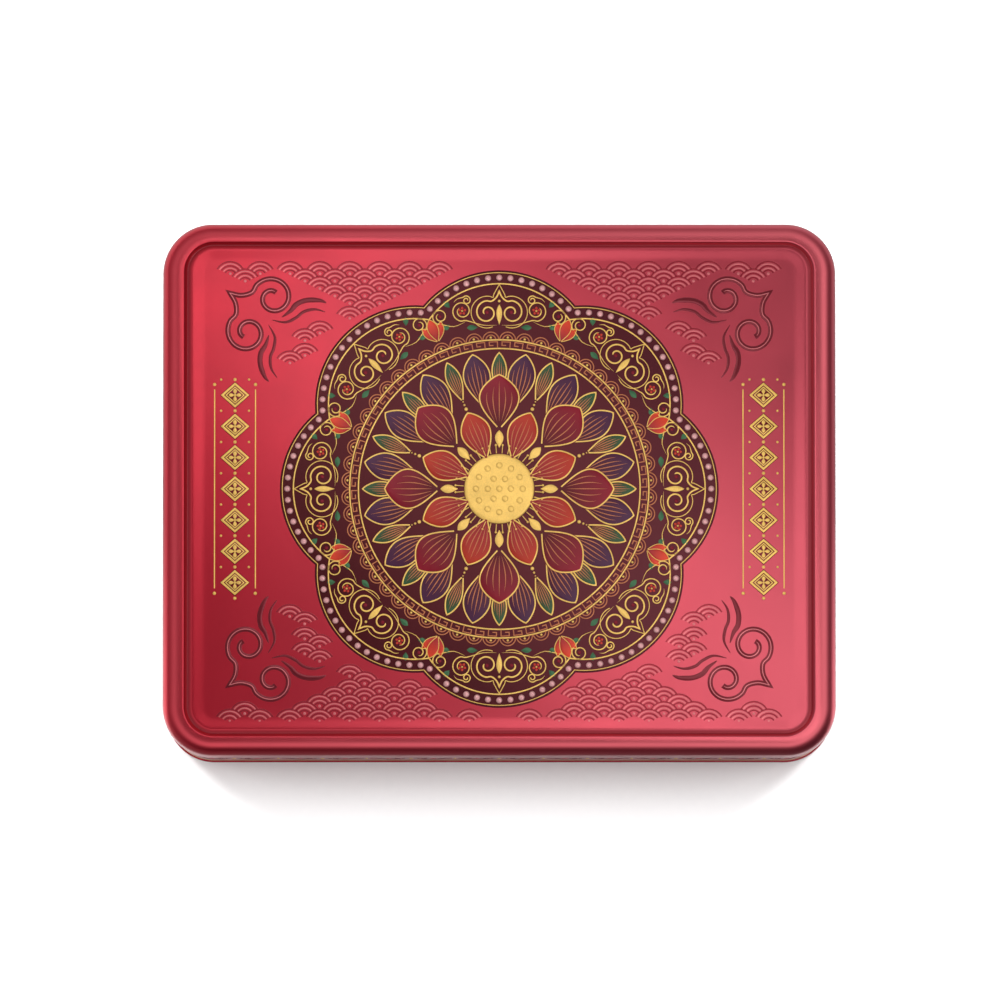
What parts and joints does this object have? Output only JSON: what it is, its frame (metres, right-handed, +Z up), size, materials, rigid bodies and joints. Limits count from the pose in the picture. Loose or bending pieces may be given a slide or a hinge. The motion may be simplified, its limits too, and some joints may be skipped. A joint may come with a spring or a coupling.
{
  "type": "mooncake gift tin",
  "caption": "Shut rectangular gift tin for mooncakes, with rounded corners: a slip lid with a framed top, lobed lotus medallion and corner clouds, over a straight-walled base.",
  "frame": {"origin": "middle of the plane that the bottom seam stands on, under the centre of the tin", "axes": "+X to the right along the long side, +Y to the back as the lid is read, +Z up out of the lid"},
  "size_m": [0.27, 0.214, 0.06],
  "materials": {
    "red_lacquer": "satin translucent red lacquer over tinplate",
    "base_lacquer": "satin translucent red lacquer over tinplate, a little deeper than the lid",
    "plum_lacquer": "satin dark plum print over tinplate",
    "gold_print": "satin gold print on raised tinplate",
    "rose_beading": "pale rose-gold beading round the medallion",
    "accent_lacquer": "small orange-red, jade and lavender fields in the petals",
    "bare_tinplate": "plain tinplate underside with faint rolling grain"
  },
  "bodies": {
    "root": {"lid": "red_lacquer", "base": "base_lacquer"}
  },
  "joints": []
}
